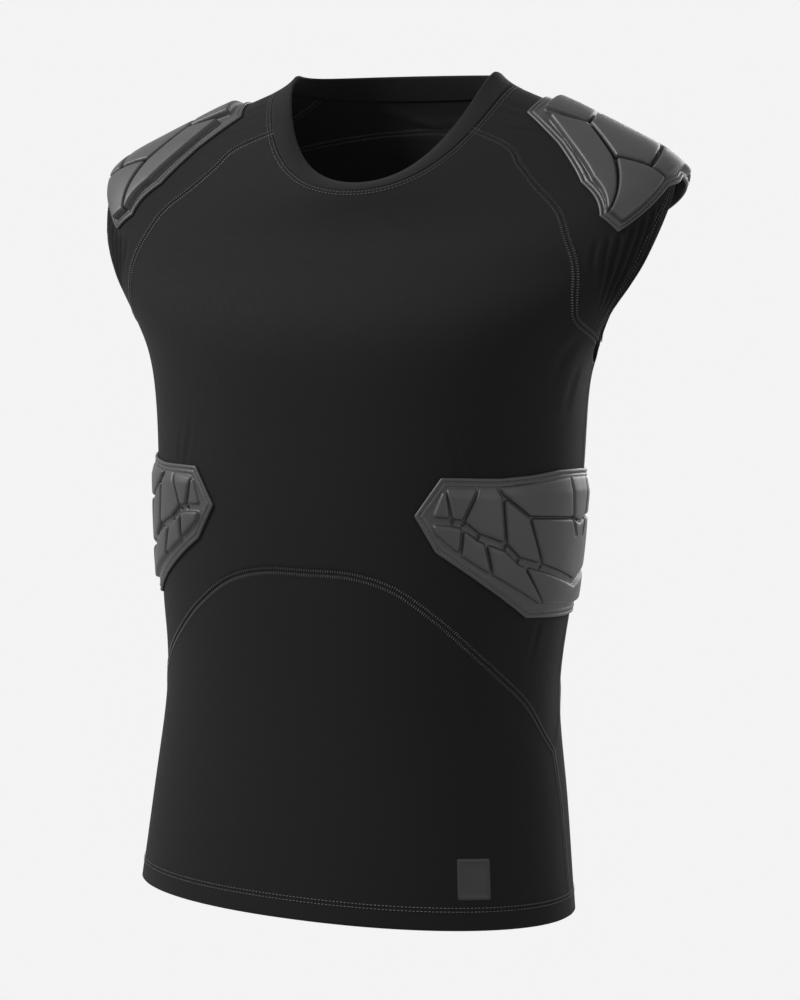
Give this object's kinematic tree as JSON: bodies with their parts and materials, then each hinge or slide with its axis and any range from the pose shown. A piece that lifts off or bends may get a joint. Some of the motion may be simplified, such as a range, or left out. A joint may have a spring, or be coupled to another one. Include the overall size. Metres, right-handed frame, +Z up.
{
  "type": "padded compression shirt",
  "caption": "Close-fitting worn raglan shirt with cap sleeves, a crew neck and an arched belly seam, with moulded foam pads over the shoulders and ribs.",
  "frame": {"origin": "midway between the tops of the shoulders, where a wearer's shoulders carry the shirt", "axes": "+Z up, the front faces -Y, and +X is the wearer's left"},
  "size_m": [0.5062, 0.2484, 0.6841],
  "materials": {
    "shirt_cloth": "fine matt stretch knit, near black",
    "pad_film": "satin grey film over moulded foam",
    "label_cloth": "blank printed patch, slightly smoother than the cloth"
  },
  "bodies": {
    "root": {"front_upper": "shirt_cloth", "front_lower": "shirt_cloth", "back_yoke": "shirt_cloth", "back_upper": "shirt_cloth", "back_lower": "shirt_cloth", "sleeve_left": "shirt_cloth", "sleeve_right": "shirt_cloth", "neckband": "shirt_cloth", "shoulder_pad_left": "pad_film", "shoulder_pad_right": "pad_film", "side_pad_left": "pad_film", "side_pad_right": "pad_film", "label": "label_cloth"}
  },
  "joints": []
}
